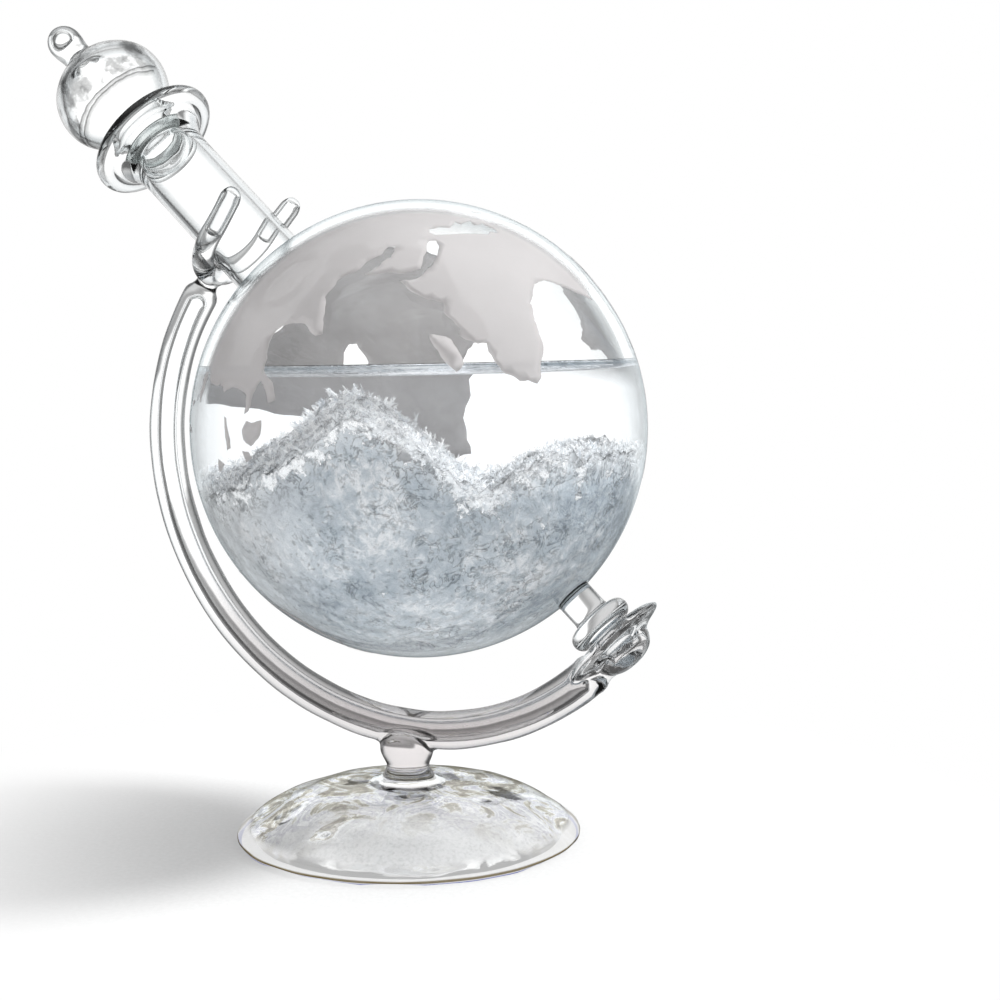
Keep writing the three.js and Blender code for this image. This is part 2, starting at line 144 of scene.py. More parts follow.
def tube(centres, radii, side, segments):
    """A round rod through the centres; a radius of 0 closes an end. side is normal to the path's plane."""
    centres = [np.array(c, float) for c in centres]
    side = np.array(side, float)
    verts, rings, faces = [], [], []
    for i, (centre, radius) in enumerate(zip(centres, radii)):
        if radius < 1e-4:
            rings.append([len(verts)] * segments)
            verts.append(tuple(centre))
            continue
        tangent = centres[min(i + 1, len(centres) - 1)] - centres[max(i - 1, 0)]
        tangent /= np.linalg.norm(tangent)
        across = np.cross(side, tangent)
        rings.append(list(range(len(verts), len(verts) + segments)))
        for k in range(segments):
            t = 2 * math.pi * k / segments
            verts.append(tuple(centre + radius * (across * math.cos(t) - side * math.sin(t))))
    for low, high in zip(rings, rings[1:]):
        for i in range(segments):
            j = (i + 1) % segments
            face = list(dict.fromkeys([low[i], high[i], high[j], low[j]]))
            if len(face) > 2:
                faces.append(face)
    return verts, faces


def domed(end, outwards, radius, steps=6, depth=1.0):
    """Centres and radii that round off a rod's end."""
    end, outwards = np.array(end, float), np.array(outwards, float)
    angles = [math.pi / 2 * (i + 1) / steps for i in range(steps)]
    return (
        [end + outwards * radius * depth * math.sin(a) for a in angles],
        [radius * math.cos(a) if a < math.pi / 2 - 1e-6 else 0 for a in angles],
    )


def make(name, verts, faces, place, inside_out=False):
    """An object from millimetre vertices, placed in the row frame."""
    mesh = bpy.data.meshes.new(name)
    points = [place @ (Vector(v) * MM) for v in verts]
    mesh.from_pydata(points, [], [f[::-1] for f in faces] if inside_out else faces)
    mesh.shade_smooth()
    obj = bpy.data.objects.new(name, mesh)
    bpy.context.scene.collection.objects.link(obj)
    return obj


def united(name, parts):
    """One closed mesh from overlapping ones."""
    base = parts[0]
    for other in parts[1:]:
        cut = base.modifiers.new("join", "BOOLEAN")
        cut.operation = "UNION"
        cut.solver = "MANIFOLD"
        cut.object = other
    bpy.context.view_layer.update()
    mesh = bpy.data.meshes.new_from_object(base.evaluated_get(bpy.context.evaluated_depsgraph_get()))
    mesh.name = name
    obj = bpy.data.objects.new(name, mesh)
    bpy.context.scene.collection.objects.link(obj)
    for part in parts:
        bpy.data.objects.remove(part)
    mesh.shade_smooth()
    return obj


def coordinates(mesh):
    co = np.zeros(len(mesh.vertices) * 3, np.float32)
    mesh.vertices.foreach_get("co", co)
    return co.reshape(-1, 3).astype(float)


def set_coordinates(mesh, co):
    mesh.vertices.foreach_set("co", co.astype(np.float32).ravel())
    mesh.update()


def melt_seams(obj, reach, rounds, sharp=math.radians(20)):
    """Rounds the creases that a union leaves, as a flame does: vertices near a crease are relaxed."""
    mesh = obj.data
    work = bmesh.new()
    work.from_mesh(mesh)
    bmesh.ops.triangulate(work, faces=work.faces)
    creased = {v.index for e in work.edges if len(e.link_faces) == 2 and e.calc_face_angle() > sharp
               for v in e.verts}
    work.to_mesh(mesh)
    work.free()
    co = coordinates(mesh)
    tree = KDTree(len(creased))
    for i, index in enumerate(creased):
        tree.insert(co[index], i)
    tree.balance()
    weight = np.array([max(0.0, 1 - tree.find(p)[2] / (reach * MM)) for p in co])
    weight = (weight * weight * (3 - 2 * weight))[:, None]
    edges = np.zeros(len(mesh.edges) * 2, np.int32)
    mesh.edges.foreach_get("vertices", edges)
    edges = edges.reshape(-1, 2)
    degree = np.bincount(edges.ravel(), minlength=len(co))[:, None]
    for _ in range(rounds):
        total = np.zeros_like(co)
        np.add.at(total, edges[:, 0], co[edges[:, 1]])
        np.add.at(total, edges[:, 1], co[edges[:, 0]])
        co += weight * (total / degree - co) * 0.8
    set_coordinates(mesh, co)
    mesh.shade_smooth()


def ripple(obj, depth, size, shift=0.0):
    """The slight unevenness of hand-worked glass: moves vertices along their normals."""
    mesh = obj.data
    co = coordinates(mesh)
    normals = np.array([v.normal for v in mesh.vertices])
    offset = Vector((shift, SEED, -shift))
    moved = [noise.noise(Vector(p) / (size * MM) + offset) for p in co]
    set_coordinates(mesh, co + normals * np.array(moved)[:, None] * depth * MM)


def rest_on_table(obj):
    co = coordinates(obj.data)
    co[:, 2] = co[:, 2].clip(0)
    set_coordinates(obj.data, co)


def absorb(obj, other):
    """Adds other's mesh to obj's as it is, for a cavity inside it."""
    work = bmesh.new()
    work.from_mesh(obj.data)
    work.from_mesh(other.data)
    work.to_mesh(obj.data)
    work.free()
    obj.data.shade_smooth()
    bpy.data.objects.remove(other)


def finish_piece(obj, body, material, slot, *nodes):
    obj.data.materials.clear()
    obj.data.materials.append(material)
    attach(obj, body)
    if nodes:
        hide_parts(*nodes)
    return obj


# ---- materials -------------------------------------------------------------------------------------
GLASS_IOR = 1.47
LIQUID_IOR = 1.36
SEAL_IOR = 1.41
WHITE = (1, 1, 1, 1)
FIRM_BUMP = 0.8  # of the crystals
SOCKET_REACH = 13  # round the socket, where the painted shade on the glass's edges is lighter
FOOT_TOP = FOOT_HEIGHT + 1.5
PLUG_TOP = 101  # along the globe's axis


class Nodes:
    """Builds a node tree: n("Kind", {input: value or socket}, property=value) returns the new node."""

    def __init__(self, tree):
        self.tree = tree
        tree.nodes.clear()

    def __call__(self, kind, inputs=None, **properties):
        node = self.tree.nodes.new("ShaderNode" + kind)
        for key, value in properties.items():
            setattr(node, key, value)
        for key, value in (inputs or {}).items():
            if isinstance(value, bpy.types.NodeSocket):
                self.tree.links.new(value, node.inputs[key])
            else:
                node.inputs[key].default_value = value
        return node

    def math(self, operation, a, b=0.0, c=0.0):
        return self("Math", {0: a, 1: b, 2: c}, operation=operation).outputs[0]

    def distance(self, a, b):
        return self("VectorMath", {0: a, 1: b}, operation="DISTANCE").outputs["Value"]

    def dot(self, a, b):
        return self("VectorMath", {0: a, 1: b}, operation="DOT_PRODUCT").outputs["Value"]

    def place(self):
        """Where a point is when its body is at rest, in the row frame."""
        return self("TexCoord").outputs["Object"]

    def height(self, place=None):
        return self("SeparateXYZ", {0: place or self.place()}).outputs["Z"]

    def facing(self, blend=0.5):
        """0 where a surface faces the eye, and 1 where it is seen edge-on."""
        return self("LayerWeight", {"Blend": blend}).outputs["Facing"]

    def ramp(self, value, *stops):
        """stops are (position, grey or (r, g, b))."""
        node = self("ValToRGB", {0: value})
        elements = node.color_ramp.elements
        for i, (position, colour) in enumerate(stops):
            element = elements[i] if i < 2 else elements.new(position)
            element.position = position
            grey = isinstance(colour, (int, float))
            element.color = (colour, colour, colour, 1) if grey else (*colour, 1)
        return node.outputs[0]

    def smooth_step(self, value, low, high):
        return self("MapRange", {0: value, 1: low, 2: high}, interpolation_type="SMOOTHSTEP").outputs[0]

    def noise(self, scale, detail=2.0, rough=0.5, **more):
        inputs = {"Vector": self.place(), "Scale": scale, "Detail": detail, "Roughness": rough, **more}
        return self("TexNoise", inputs).outputs[0]

    def bump(self, height, distance, strength=1.0):
        """distance is in millimetres."""
        return self("Bump", {"Height": height, "Strength": strength, "Distance": distance * MM}).outputs[0]

    def mix(self, share, a, b):
        return self("MixRGB", {0: share, 1: a, 2: b}).outputs[0]

    def times(self, a, b):
        return self("MixRGB", {0: 1.0, 1: a, 2: b}, blend_type="MULTIPLY").outputs[0]

    def blend(self, share, a, b):
        return self("MixShader", {0: share, 1: a, 2: b}).outputs[0]

    def see_through(self, colour=WHITE):
        return self("BsdfTransparent", {"Color": colour}).outputs[0]

    def surface(self, shader):
        self("OutputMaterial", {0: shader})


def material(name):
    mat = bpy.data.materials.new(name)
    mat.use_nodes = True
    return mat, Nodes(mat.node_tree)


def pass_light(n, shader, clear):
    """Lets lamps and bounced light through unbent, so that what is inside is lit."""
    path = n("LightPath").outputs
    return n.blend(n.math("MAXIMUM", path["Is Shadow Ray"], path["Is Diffuse Ray"]), shader, clear)


def glass_material(name, wave, wave_scale, is_narrow, edges, shade_tint=None, seam=None, band=None):
    """Clear borosilicate with drawn waves in its surface, and painted shade that greys it where it is seen
    edge-on.
    is_narrow gives 1 on tubes and rods, whose painted edge shade is darker: edges has their last two greys.
    shade_tint gives a tint that carries painted shade. seam is a height along the globe's axis, in millimetres,
    of a faint uneven line round the near side. band gives the place and the colour of painted light on a pale
    rim: a glowing band with painted colour fringes."""
    mat, n = material(name)
    bump = n.bump(n.noise(wave_scale), wave)
    facing = n.facing()
    # painted shade: the glass's colour greys where it is seen edge-on, more on tubes and rods
    broad = n.ramp(facing, (0.0, (0.998, 0.999, 0.999)), (0.5, (0.985, 0.99, 0.99)),
                   (0.8, (0.86, 0.89, 0.90)), (1.0, (0.40, 0.45, 0.47)))
    narrow = n.ramp(facing, (0.0, (0.998, 0.999, 0.999)), (0.4, (0.97, 0.975, 0.975)),
                    (0.58, (0.74, 0.76, 0.77)), (0.8, edges[0]), (1.0, edges[1]))
    tint = n.mix(is_narrow(n), broad, narrow)
    if shade_tint:
        tint = n.times(tint, shade_tint(n))
    if seam:
        tint = n.times(tint, seam_line(n, seam))
    glass = n("BsdfGlass", {"Color": tint, "Roughness": 0.0, "IOR": GLASS_IOR, "Normal": bump}).outputs[0]
    if band:
        # painted light: the rim band glows, through a pale see-through colour with painted colour fringes
        share, colour = band(n)
        bright = n("Emission", {"Color": colour}).outputs[0]
        glass = n.blend(share, glass, n.blend(0.45, n.see_through(colour), bright))
    shade = n.ramp(facing, (0.0, 0.985), (0.6, 0.94), (1.0, 0.55))
    n.surface(pass_light(n, glass, n.see_through(shade)))
    return mat


def rods_of_stand(n):
    """1 on the arm, the stem and the fork, and 0 on the foot and round the socket."""
    place = n.place()
    high = n.math("GREATER_THAN", n.height(place), FOOT_TOP * MM)
    away = n.distance(place, CENTRE - AXIS * 65.5 * MM)
    return n.math("MULTIPLY", high, n.math("GREATER_THAN", away, SOCKET_REACH * MM))


def outside_globe(n):
    return n.math("GREATER_THAN", n.distance(n.place(), CENTRE), (GLOBE_RADIUS + 0.6) * MM)


def above_plug(n):
    return n.math("GREATER_THAN", n.dot(n.place(), AXIS), AXIS.dot(CENTRE) + PLUG_TOP * MM)


def stand_shade_and_grain(n):
    """Painted shade: greyer glass in the arm's lower run and the stem, low over the table, and a grained foot
    with streaks of painted shade where it is seen at a slant and a dark painted contour where it is seen
    edge-on.
    """
    height = n.height()
    # painted shade: the glass is greyed between 14 and 60 mm above the table, over the arm's lower run and the
    # stem
    shade_tint = n.ramp(n.math("MULTIPLY", height, 10.0), (0.125, (1, 1, 1)), (0.14, (0.82, 0.80, 0.80)),
                   (0.3, (0.85, 0.84, 0.84)), (0.6, (1, 1, 1)))
    grain = n.ramp(n.noise(1300.0, 3.0, 0.7), (0.34, 0.89), (0.5, 1.0))
    # painted shade: grey streaks on the foot, shown only where it is seen at a slant
    streaks = n.ramp(n.noise(75.0, 5.0, 0.65, Distortion=2.5), (0.40, (0.46, 0.43, 0.39)),
                     (0.46, (0.68, 0.65, 0.57)), (0.505, (1, 1, 1)), (0.55, (0.70, 0.69, 0.75)),
                     (0.6, (1, 1, 1)))
    streaks = n.mix(n.ramp(n.facing(), (0.34, 0.0), (0.6, 1.0)), WHITE, streaks)
    # painted shade: a dark brownish contour where the foot is seen edge-on
    contour = n.ramp(n.facing(), (0.8, (1, 1, 1)), (0.93, (0.50, 0.46, 0.38)))
    foot = n.times(n.times(grain, streaks), contour)
    return n.mix(n.math("LESS_THAN", height, FOOT_HEIGHT * MM), shade_tint, foot)


def foot_rim_light(n):
    """Painted light on the foot's rolled rim: a pale glowing band, with painted colour fringes, a brown line
    over a blue one, low on its outside.
    """
    place = n.place()
    level = n("VectorMath", {0: place, 1: (1, 1, 0)}, operation="MULTIPLY").outputs[0]
    far = n.distance(level, FOOT_CENTRE)
    height = n.math("MULTIPLY", n.height(place), 0.2 / MM)
    # painted colour fringes: a blue line under a brown one
    lines = n.ramp(height, (0.05, (0.20, 0.23, 0.58)), (0.10, (0.28, 0.31, 0.64)),
                   (0.125, (0.96, 0.96, 0.96)), (0.165, (0.14, 0.10, 0.03)), (0.23, (0.20, 0.15, 0.06)),
                   (0.28, (0.97, 0.97, 0.97)))
    outside = n.math("GREATER_THAN", far, (FOOT_RADIUS - 1.3) * MM)
    colour = n.mix(outside, (0.97, 0.97, 0.97, 1), lines)
    low = n.ramp(height, (0.58, 0.88), (0.8, 0.0))
    return n.math("MULTIPLY", low, n.math("GREATER_THAN", far, (FOOT_RADIUS - 4.5) * MM)), colour


def seam_line(n, height):
    """A dark wavering line with cloudy blotches above it, on the side that faces -Y."""
    place = n.place()
    start = AXIS.dot(CENTRE) + height * MM
    waver = n.math("MULTIPLY", n.noise(90.0, 3.0, 0.6), 2.4)
    above = n.math("MULTIPLY_ADD", n.math("SUBTRACT", n.dot(place, AXIS), start), 1 / MM, waver)
    above = n.math("MULTIPLY_ADD", n.math("ADD", above, -1.2), 0.1, 0.5)
    line = n.ramp(above, (0.40, 1.0), (0.48, 0.6), (0.5, 0.2), (0.52, 1.0))
    blotch = n.ramp(n.noise(170.0, 3.0, 0.6), (0.54, 1.0), (0.62, 0.6))
    mark = n.mix(n.ramp(above, (0.5, 0.0), (0.62, 1.0)), line, blotch)
    near = n.math("LESS_THAN", n("SeparateXYZ", {0: place}).outputs["Y"], 0.0)
    return n.mix(near, WHITE, mark)


def liquid_material():
    mat, n = material("storm_liquid")
    bump = n.bump(n.noise(60.0, 1.0), 0.01)
    inputs = {"Color": (0.985, 0.992, 1, 1), "Roughness": 0.0, "IOR": LIQUID_IOR, "Normal": bump}
    glass = n("BsdfGlass", inputs).outputs[0]
    n.surface(pass_light(n, glass, n.see_through((0.99, 0.993, 1, 1))))
    return mat


def crystal_lighting(n):
    """How much paler the bed is on the left and at its bottom, and its shade on the right."""
    place = n.place()
    size = GLOBE_RADIUS * MM
    across = n.math("MULTIPLY_ADD", n.dot(place, VIEW_RIGHT), 0.5 / size,
                    0.5 - 0.5 * CENTRE.dot(VIEW_RIGHT) / size)
    depth = n.math("MULTIPLY_ADD", n.height(place), 0.02 / MM, 0.02 * (GLOBE_RADIUS - CENTRE.z / MM))
    lit = n.math("MAXIMUM", n.ramp(across, (0.03, 0.9), (0.34, 0.0)), n.ramp(depth, (0.06, 0.6), (0.22, 0.0)))
    return lit, n.ramp(across, (0.62, 1.0), (0.96, 0.8))


def crystal_shades(n, loose, growth):
    """Dark marks on the crystals: specks, the outlines of gaps and crinkled lines, and painted shade on the
    bed's rim, where it is seen edge-on.
    """
    specks = n.ramp(n.noise(800.0, 3.0, 0.6), (0.33, 0.65), (0.42, 1.0))
    outline = n.ramp(growth, (0.265, 1.0), (0.28, 0.5), (0.295, 0.5), (0.31, 1.0))
    # painted shade: the bed darkens where it is seen edge-on, at its rim against the glass
    rim = n.ramp(n.facing(), (0.22, 1.0), (0.31, 0.86), (0.37, 0.75))
    crinkle = n.ramp(n.noise(260.0, 5.0, 0.65, Distortion=1.0), (0.455, 1.0), (0.485, 0.42), (0.505, 0.5),
                     (0.53, 1.0))
    patches = n.ramp(n.noise(110.0, 2.0, 0.5), (0.50, 0.12), (0.62, 0.85))
    crinkled = n.math("ADD", patches, n.ramp(loose, (0.1, 0.0), (0.6, 0.9)))
    return specks, outline, rim, n.mix(n.math("MINIMUM", crinkled, 0.95), WHITE, crinkle)


def crystal_material():
    """Feathery crystals: bluish white and cloudy, with darker hollows and pale streaks. Towards the top of
    the bed ("loose" rises to 1) they thin out into a half-clear veil with dark crinkled outlines."""
    mat, n = material("crystal_bed")
    cloud = n.noise(60.0, 3.0, 0.55)
    fine = n.noise(420.0, 6.0, 0.75, Distortion=1.2)
    streak = n.noise(150.0, 5.0, 0.7, Distortion=2.5)
    mottle = n.math("MULTIPLY_ADD", fine, 0.55, n.math("MULTIPLY", cloud, 0.5))
    mottle = n.math("MULTIPLY_ADD", streak, 0.35, mottle)
    colour = n.ramp(mottle, (0.56, (0.35, 0.40, 0.45)), (0.65, (0.49, 0.55, 0.60)),
                    (0.74, (0.59, 0.64, 0.68)), (0.84, (0.86, 0.88, 0.90)))
    loose = n("Attribute", attribute_name="loose").outputs["Fac"]
    growth = n.math("MULTIPLY_ADD", loose, -0.25, n.noise(330.0, 6.0, 0.75))
    growth = n.math("SUBTRACT", growth, n.ramp(n.noise(75.0, 2.0, 0.5), (0.54, 0.0), (0.66, 0.08)))
    cover = n.smooth_step(growth, 0.27, 0.31)
    lit, shaded = crystal_lighting(n)
    colour = n.mix(n.math("MAXIMUM", lit, n.ramp(loose, (0.3, 0.0), (1.0, 0.5))), colour, WHITE)
    for shade in (shaded, *crystal_shades(n, loose, growth)):
        colour = n.times(colour, shade)
    bump = n.bump(mottle, FIRM_BUMP, n.ramp(loose, (0.3, 1.0), (0.9, 0.3)))
    diffuse = n("BsdfDiffuse", {"Color": colour, "Normal": bump}).outputs[0]
    through = n("BsdfTranslucent", {"Color": colour, "Normal": bump}).outputs[0]
    front = n.math("SUBTRACT", 1.0, n("NewGeometry").outputs["Backfacing"])
    solid = n.math("MULTIPLY", n.math("MULTIPLY_ADD", cover, 0.65, 0.35), front)
    n.surface(n.blend(solid, n.see_through(), n.blend(0.2, diffuse, through)))
    return mat


def needle_material():
    """Single crystals: white, frail and half clear, greyer in places, and evenly lit as fine fibres are."""
    mat, n = material("crystal_needles")
    colour = n.ramp(n.noise(300.0, 4.0, 0.6), (0.36, (0.70, 0.74, 0.78)), (0.5, (0.95, 0.97, 0.98)),
                    (0.62, (1.0, 1.0, 1.0)))
    diffuse = n("BsdfDiffuse", {"Color": colour, "Normal": (0.0, -0.6, 0.8)}).outputs[0]
    n.surface(n.blend(0.38, n.see_through(), diffuse))
    return mat


def seal_material():
    mat, n = material("clear_seal")
    fine = n.noise(400.0, 3.0)
    bump = n.bump(fine, 0.08, 0.6)
    colour = n.ramp(fine, (0.3, (0.80, 0.83, 0.83)), (0.7, (0.93, 0.945, 0.94)))
    glass = n("BsdfGlass", {"Color": colour, "Roughness": 0.18, "IOR": SEAL_IOR, "Normal": bump}).outputs[0]
    n.surface(pass_light(n, glass, n.see_through((0.85, 0.87, 0.87, 1))))
    return mat


# ---- the stand -------------------------------------------------------------------------------------
def arm_point(angle):
    def drawn_in(span):
        return max(0.0, 1 - span / ARM_DRAW_SPAN) ** 2

    radius = ARM_RADIUS - ARM_TOP_DRAW * drawn_in(angle - ARM_TOP_ANGLE)
    radius -= ARM_FOOT_DRAW * drawn_in(ARM_END_ANGLE - angle)
    return np.array((-radius * math.sin(angle), 0, radius * math.cos(angle)))


def arm_arc(start, end, steps):
    return [arm_point(start + (end - start) * i / steps) for i in range(steps + 1)]


def fork_height(x):
    return FORK_HEIGHT + FORK_PITCH * x


def arm_outside():
    """The tube with its ends closed: necked down to the fork's bend above, and to the socket below."""
    top, foot = arm_point(ARM_TOP_ANGLE), arm_point(ARM_END_ANGLE)
    bend = np.array((-FORK_BEND_DEPTH, 0, fork_height(-FORK_BEND_DEPTH) + 1))
    neck = [(1, 2.9), (0.8, 2.5), (0.62, 2.2), (0.5, 2.25), (0.42, 2.6), (0.33, 3.15), (0.24, 3.65),
            (0.12, 4.0)]
    knot = [(0.1, 4.25), (0.2, 4.1), (0.3, 3.6), (0.4, 3.1), (0.55, 2.8), (0.75, 2.9), (1, 3.3)]
    core = np.array((0.5, 0, foot[2] - 1))
    centres = [top + (bend - top) * share for share, _ in neck]
    centres += arm_arc(ARM_TOP_ANGLE, ARM_END_ANGLE, 220)
    centres += [foot + (core - foot) * share for share, _ in knot]
    radii = [r for _, r in neck] + [ARM_TUBE_RADIUS] * 221 + [r for _, r in knot]
    start, start_radii = domed(centres[0], (1, 0, 0.2), radii[0], 4, 0.3)
    end, end_radii = domed(centres[-1], (1, 0, -0.1), radii[-1], 4, 0.3)
    return tube(start[::-1] + centres + end, start_radii[::-1] + radii + end_radii, (0, 1, 0), 40)


def arm_bore():
    centres = arm_arc(ARM_TOP_ANGLE + 0.02, ARM_END_ANGLE - 0.02, 200)
    start, start_radii = domed(centres[0], (0.94, 0, 0.33), ARM_TUBE_BORE, 6)
    end, end_radii = domed(centres[-1], (0.98, 0, -0.16), ARM_TUBE_BORE, 6)
    radii = [ARM_TUBE_BORE] * len(centres)
    return tube(start[::-1] + centres + end, start_radii[::-1] + radii + end_radii, (0, 1, 0), 32)


def fork_rod():
    bend_steps, prong_steps = 60, 16
    points = []
    for i in range(prong_steps, 0, -1):
        points.append(prong(FORK_REACH * i / prong_steps, -1))
    for i in range(bend_steps + 1):
        angle = math.pi * i / bend_steps
        x = -FORK_BEND_DEPTH * math.sin(angle)
        points.append(np.array((x, -FORK_HALF_WIDTH * math.cos(angle), fork_height(x))))
    for i in range(1, prong_steps + 1):
        points.append(prong(FORK_REACH * i / prong_steps, 1))
    side = np.array((-FORK_PITCH, 0, 1)) / math.hypot(1, FORK_PITCH)
    start, start_radii = domed(points[0], (0.98, -0.2, 0.12), FORK_ROD_RADIUS, 6, 0.4)
    end, end_radii = domed(points[-1], (0.98, 0.2, 0.12), FORK_ROD_RADIUS, 6, 0.4)
    radii = [FORK_ROD_RADIUS] * len(points)
    return tube(start[::-1] + points + end, start_radii[::-1] + radii + end_radii, side, 36)


def prong_bore(side):
    points = [prong(FORK_REACH * (0.02 + 0.94 * i / 12), side) for i in range(13)]
    start, start_radii = domed(points[0], (-1, 0, 0), PRONG_BORE, 5, 0.8)
    end, end_radii = domed(points[-1], (1, 0, 0.12), PRONG_BORE, 5, 0.4)
    radii = start_radii[::-1] + [PRONG_BORE] * len(points) + end_radii
    return tube(start[::-1] + points + end, radii, (-FORK_PITCH, 0, 1), 28)


def prong(reach, side):
    splay = FORK_SPLAY * (reach / FORK_REACH) ** 1.5
    return np.array((reach, side * (FORK_HALF_WIDTH + splay), fork_height(reach)))


def bead():
    profile = [(0, -4)] + arc(0, 0, 1, 4, -84, 84, 24) + [(0, 4)]
    verts, faces = turned(profile, 40)
    x, z = -FORK_BEND_DEPTH, fork_height(-FORK_BEND_DEPTH) + 1.2
    return [(v[0] * 2.35 + x, v[1] * 4.6, v[2] + z) for v in verts], faces


def socket():
    outside = [(0, -69.2), (2.4, -69.1), (4.8, -68.2), (6.2, -66.6), (6.8, -65.3), (8.2, -64.5),
               (10.2, -63.9)]
    bore = [(10.2, -61.9), (8.8, -61.5), (7.0, -61.35), (5.4, -61.9), (4.4, -63.1), (4, -64.4), (3.9, -65.6)]
    rim = arc(11.5, -63.05, 0.7, 0.8, -80, 80, 8)
    floor = [(3.2, -66.4), (1.6, -66.75), (0, -66.8)]
    return turned(smoothed(outside, 4) + rim + smoothed(bore + floor, 4), 72)


def dome_height(share):
    return FOOT_HEIGHT * max(0.0, 1 - share**2.92) ** 0.8


def foot_and_stem():
    shares = [0.96 - 0.045 * i for i in range(17)]
    top = [(s * FOOT_RADIUS, dome_height(s)) for s in shares]
    under = [((s - 0.06) * FOOT_RADIUS, dome_height(s) - FOOT_WALL) for s in shares[::-1] if s > 0.24]
    edge = arc(FOOT_RADIUS - 1.6, 1.7, 1.6, 1.7, -88, 22, 8)
    knob = [(7.4, 0.5), (5.9, 1.5), (4.95, 3), (4.85, 4), (5.6, 5.7), (6.1, 7.4), (5.6, 9.2), (3.6, 10.6),
            (0, 11.2)]
    stem = [(radius, FOOT_HEIGHT + height) for radius, height in knob]
    ring = [(FOOT_RADIUS - 3.4, 0.35), (FOOT_RADIUS - 2.9, 0.02)]
    inside = [(0, FOOT_HEIGHT - FOOT_WALL), (4, FOOT_HEIGHT - FOOT_WALL)]
    return turned(smoothed(inside + under + ring, 2) + edge + smoothed(top + stem, 3), 128)


def build_stand(glass):
    parts = [
        make("arm", *arm_outside(), AXIS_FRAME),
        make("socket", *socket(), AXIS_FRAME),
        make("fork", *fork_rod(), AXIS_FRAME),
        make("bead", *bead(), AXIS_FRAME),
        make("base", *foot_and_stem(), FOOT_FRAME),
    ]
    ripple(parts[-1], 0.35, 8, 5.2)
    rest_on_table(parts[-1])
    stand = united("stand_glass", parts)
    melt_seams(stand, 2.2, 14)
    ripple(stand, 0.16, 9, 3.1)
    absorb(stand, make("bore", *arm_bore(), AXIS_FRAME, inside_out=True))
    for side in (-1, 1):
        absorb(stand, make("prong_bore", *prong_bore(side), AXIS_FRAME, inside_out=True))
    nodes = ("foot", "stem", "arm_tube", "arm_upper_cap", "arm_lower_cap", "neck_fork", "pivot_socket")
    finish_piece(stand, "stand", glass, "clear_glass", *nodes)


# ---- the globe -------------------------------------------------------------------------------------
def shoulder(stub, fillet, steps):
    """Fillet from the globe's outside to a stub of this radius: the start angle and the points."""
    centre_radius = stub + fillet
    centre_height = math.sqrt((GLOBE_RADIUS + fillet) ** 2 - centre_radius**2)
    start = math.degrees(math.atan2(centre_height, centre_radius))
    return start, arc(centre_radius, centre_height, fillet, fillet, start - 180, -180, steps)


def globe_profile():
    neck_start, neck = shoulder(NECK_RADIUS, 2.5, 8)
    boss_start, boss = shoulder(PIN_RADIUS, 1.0, 8)
    boss = [(r, -h) for r, h in boss][::-1]
    pin = [(0, -66.2), (1.3, -66.1), (2.6, -65.4), (3.4, -64.2), (3.5, -62.5), (3.7, -61.0)]
    collar = arc(5.05, -58.45, 2.15, 2.15, -100, 100, 16)
    root = [(4.2, -56.0), (4.0, -55.2), (4.0, -54.0)]
    lip = [(8.95, 88.5), (9.2, 90.6), (9.9, 92.4), (11.2, 94.3)]
    roll = arc(13.5, 97.3, 2.5, 2.5, -100, 120, 20)
    funnel = [(10.9, 98.5), (9.6, 98.2), (8.6, 97.0), (7.9, 95.2), (7.35, 93.2), (NECK_BORE, 91)]
    mouth = math.degrees(math.acos((NECK_BORE + 1.0) / INNER_RADIUS))
    inner_edge = [(NECK_BORE, 52.5), (NECK_BORE, 49.6), (NECK_BORE + 0.2, 47.8)]
    return (
        smoothed(pin, 3)
        + collar
        + smoothed(root, 3)
        + boss
        + arc(0, 0, GLOBE_RADIUS, GLOBE_RADIUS, -boss_start, neck_start, 150)[1:]
        + neck[1:]
        + [(NECK_RADIUS, h) for h in range(56, 88, 3)]
        + smoothed(lip, 4)
        + roll
        + smoothed(funnel, 4)
        + [(NECK_BORE, h) for h in range(89, 54, -3)]
        + smoothed(inner_edge, 3)
        + arc(0, 0, INNER_RADIUS, INNER_RADIUS, mouth, -89.2, 150)
        + [(0, -INNER_RADIUS)]
    )


def build_globe(glass):
    globe = make("globe_glass", *turned(globe_profile(), 192), AXIS_FRAME)
    nodes = ("globe_shell", "neck_tube", "neck_lip", "pivot_pin", "pivot_collar")
    finish_piece(globe, "globe", glass, "clear_glass", *nodes)


